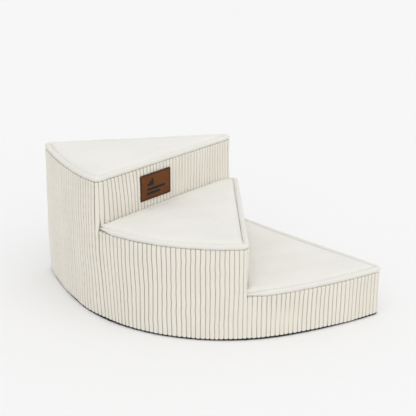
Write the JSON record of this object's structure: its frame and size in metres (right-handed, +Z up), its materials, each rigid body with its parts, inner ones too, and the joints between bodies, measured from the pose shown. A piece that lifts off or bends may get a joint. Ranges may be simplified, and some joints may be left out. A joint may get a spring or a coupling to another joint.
{
  "type": "pet stair",
  "caption": "Soft foam pet stair of wedge-shaped steps that turn about a rear edge, with a curved corduroy front wall, plush treads, a non-slip base and a zip-off cover.",
  "frame": {"origin": "on the floor, at the middle of the plan's bounding box", "axes": "+X along the longest side, with the low step on +X and the high step on -X; -Y faces the curved front; +Z up"},
  "size_m": [0.8016, 0.4978, 0.318],
  "materials": {
    "foam": "matte",
    "soft_foam": "matte",
    "plush": "matte",
    "piping": "matte",
    "corduroy": "matte",
    "base_fabric": "matte",
    "grip_silicone": "satin",
    "label_leather": "satin",
    "zip_tape": "matte",
    "zip_coil": "satin",
    "zip_metal": "satin"
  },
  "bodies": {
    "stair": {"foam_low_slab": "foam", "tread_pad_low": "soft_foam", "tread_panel_low": "plush", "tread_rim_low": "piping", "wall_low": "corduroy", "foam_middle_slab": "foam", "tread_pad_middle": "soft_foam", "tread_panel_middle": "plush", "tread_rim_middle": "piping", "wall_middle": "corduroy", "foam_top_slab": "foam", "tread_pad_top": "soft_foam", "tread_panel_top": "plush", "tread_rim_top": "piping", "wall_top": "corduroy", "riser_lower": "corduroy", "riser_upper": "corduroy", "back_panel_left": "corduroy", "back_panel_right": "corduroy", "base_panel": "base_fabric", "grip_dots": "grip_silicone", "label_patch": "label_leather", "zip_tape_upper": "zip_tape", "zip_tape_lower": "zip_tape", "zip_coil_upper": "zip_coil", "zip_coil_lower": "zip_coil", "zip_stops": "zip_metal"},
    "slider": {"zip_slider": "zip_metal"},
    "pull": {"zip_pull": "zip_metal"}
  },
  "joints": [
    {"name": "zip_slide", "type": "slide", "parent": "stair", "child": "slider", "axis": [0.866, 0.5, 0], "range_m": [0, 0.371]},
    {"name": "zip_pull_swing", "type": "hinge", "parent": "slider", "child": "pull", "pos_m": [-0.36974, 0.0405, 0.034], "axis": [0, 0, 1], "range_deg": [0, 180]}
  ]
}
